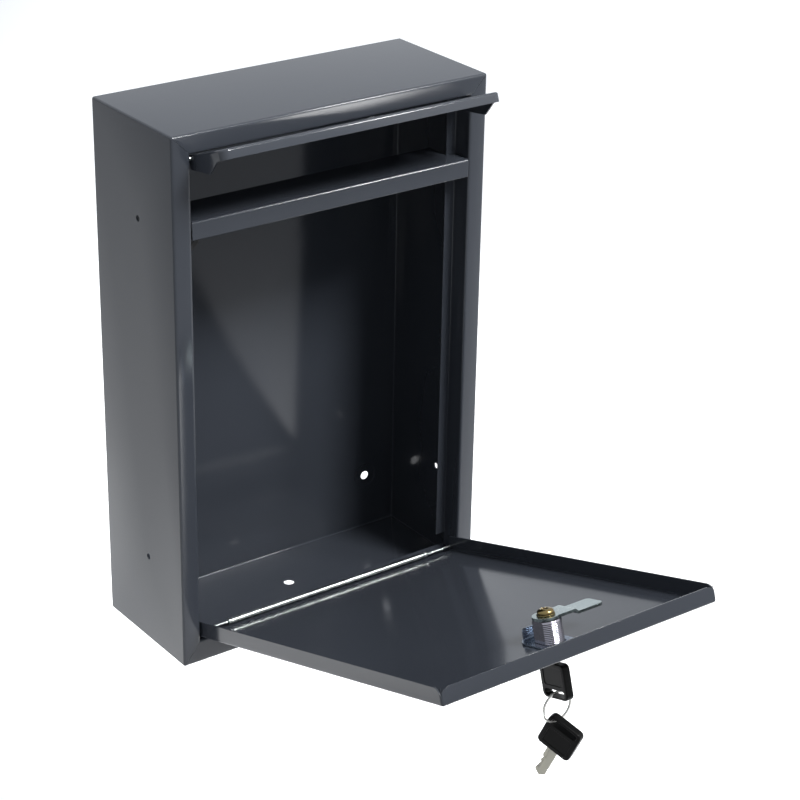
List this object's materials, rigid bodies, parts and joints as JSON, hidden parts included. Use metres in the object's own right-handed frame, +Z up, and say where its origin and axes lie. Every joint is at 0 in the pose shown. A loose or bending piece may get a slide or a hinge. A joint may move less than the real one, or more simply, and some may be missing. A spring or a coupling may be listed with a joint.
{
  "type": "wall letterbox",
  "caption": "Wall-mounted sheet-steel letterbox with a lift-up slot flap, a drop-down locked front door, a cam lock and keys on a ring.",
  "frame": {"origin": "centre of the outer face of the back wall, where the case meets the wall of the building", "axes": "+Y out of the back face, into the building wall, so the front faces -Y; +Z up; +X to the right seen from the front"},
  "size_m": [0.26, 0.3892, 0.4002],
  "materials": {
    "powder_coat": "glossy anthracite grey powder coat",
    "rubber": "matt black rubber",
    "zinc": "bright bluish zinc plating, slightly worn",
    "nickel_plate": "satin nickel plating",
    "key_brass": "nickel-plated brass, milled",
    "yellow_zinc": "yellow chromated zinc plating",
    "black_plastic": "smooth black moulded plastic"
  },
  "bodies": {
    "case": {"side_panel_left": "powder_coat", "side_panel_right": "powder_coat", "top_panel": "powder_coat", "bottom_panel": "powder_coat", "back_panel": "powder_coat", "slot_shelf": "powder_coat", "lock_catch": "powder_coat", "door_bumper": "rubber", "flap_pin_left": "zinc", "flap_pin_right": "zinc", "hinge_tube": "zinc", "hinge_pin_left": "zinc", "hinge_pin_right": "zinc", "hinge_spring": "zinc"},
    "flap": {"flap_panel": "powder_coat"},
    "door": {"door_panel": "powder_coat", "lock_housing": "nickel_plate", "lock_clip": "zinc"},
    "lock_core": {"lock_plug": "nickel_plate", "lock_cam": "zinc", "cam_washer": "yellow_zinc", "cam_screw": "yellow_zinc"},
    "key_1": {"key_1_head": "black_plastic", "key_1_blade": "key_brass"},
    "ring": {"key_ring": "nickel_plate"},
    "key_2": {"key_2_head": "black_plastic", "key_2_blade": "key_brass"}
  },
  "joints": [
    {"name": "flap_pivot", "type": "hinge", "parent": "case", "child": "flap", "pos_m": [0, -0.10172, 0.1821], "axis": [1, 0, 0], "range_deg": [0, 111]},
    {"name": "door_hinge", "type": "hinge", "parent": "case", "child": "door", "pos_m": [0, -0.1004, -0.1775], "axis": [-1, 0, 0], "range_deg": [0, 72.3]},
    {"name": "lock_turn", "type": "hinge", "parent": "door", "child": "lock_core", "pos_m": [0, -0.3546, -0.10081], "axis": [0, -0.304, -0.9527], "range_deg": [0, 90]},
    {"name": "key_1_pull", "type": "slide", "parent": "lock_core", "child": "key_1", "axis": [0, -0.304, -0.9527], "range_m": [0, 0.025]},
    {"name": "ring_swing", "type": "hinge", "parent": "key_1", "child": "ring", "pos_m": [0, -0.3642, -0.13195], "axis": [1, 0, 0], "range_deg": [-30, 72.3]},
    {"name": "key_2_swing", "type": "hinge", "parent": "ring", "child": "key_2", "pos_m": [0, -0.3642, -0.15465], "axis": [0.9272, 0.3746, 0], "range_deg": [-20, 10]}
  ]
}
